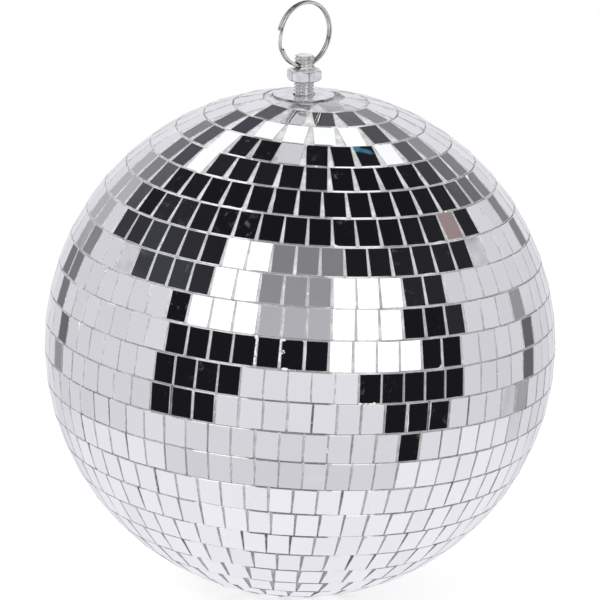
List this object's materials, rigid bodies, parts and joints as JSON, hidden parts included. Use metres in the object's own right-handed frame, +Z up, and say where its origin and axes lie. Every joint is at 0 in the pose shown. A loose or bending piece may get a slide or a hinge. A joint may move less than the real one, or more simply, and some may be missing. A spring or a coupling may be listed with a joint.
{
  "type": "mirror ball",
  "caption": "Sphere tiled with small flat mirrors in courses, hung from a cross-drilled bolt with a loose lock nut and a split ring.",
  "frame": {"origin": "hang point: the top of the inside of the split ring as it stands upright", "axes": "+Z up along the hanger bolt; the ball hangs below, its centre 135.3 mm down; +X is the side the tile axis leans towards, -Y is the front"},
  "size_m": [0.2003, 0.1997, 0.2365],
  "materials": {
    "mirror": "float glass mirror with cut edges",
    "adhesive": "silver-grey cured adhesive, satin",
    "core": "moulded plastic, matt",
    "seam_glue": "cured glue, satin",
    "bright_zinc": "bright zinc plate",
    "satin_zinc": "satin zinc plate",
    "nickel": "nickel plate, polished"
  },
  "bodies": {
    "ball": {"tile_row_01": "mirror", "tile_row_02": "mirror", "tile_row_03": "mirror", "tile_row_04": "mirror", "tile_row_05": "mirror", "tile_row_06": "mirror", "tile_row_07": "mirror", "tile_row_08": "mirror", "tile_row_09": "mirror", "tile_row_10": "mirror", "tile_row_11": "mirror", "tile_row_12": "mirror", "tile_row_13": "mirror", "tile_row_14": "mirror", "tile_row_15": "mirror", "tile_row_16": "mirror", "tile_row_17": "mirror", "tile_row_18": "mirror", "tile_row_19": "mirror", "tile_row_20": "mirror", "tile_row_21": "mirror", "tile_row_22": "mirror", "tile_row_23": "mirror", "tile_row_24": "mirror", "tile_row_25": "mirror", "pole_tiles_bottom": "mirror", "tile_adhesive": "adhesive", "core_upper_half": "core", "core_lower_half": "core", "seam_glue_bead": "seam_glue", "hanger_bolt": "bright_zinc", "inner_washer": "bright_zinc", "top_washer": "bright_zinc", "washer_bedding": "adhesive"},
    "ring": {"split_ring": "nickel"},
    "nut": {"lock_nut": "satin_zinc"}
  },
  "joints": [
    {"name": "ring_swing", "type": "hinge", "parent": "ball", "child": "ring", "pos_m": [0, 0, -0.02395], "axis": [0.7604, 0.6494, 0], "range_deg": [-105, 105]},
    {"name": "nut_travel", "type": "slide", "parent": "ball", "child": "nut", "axis": [0, 0, 1], "range_m": [-0.0056, 0.0002]}
  ]
}
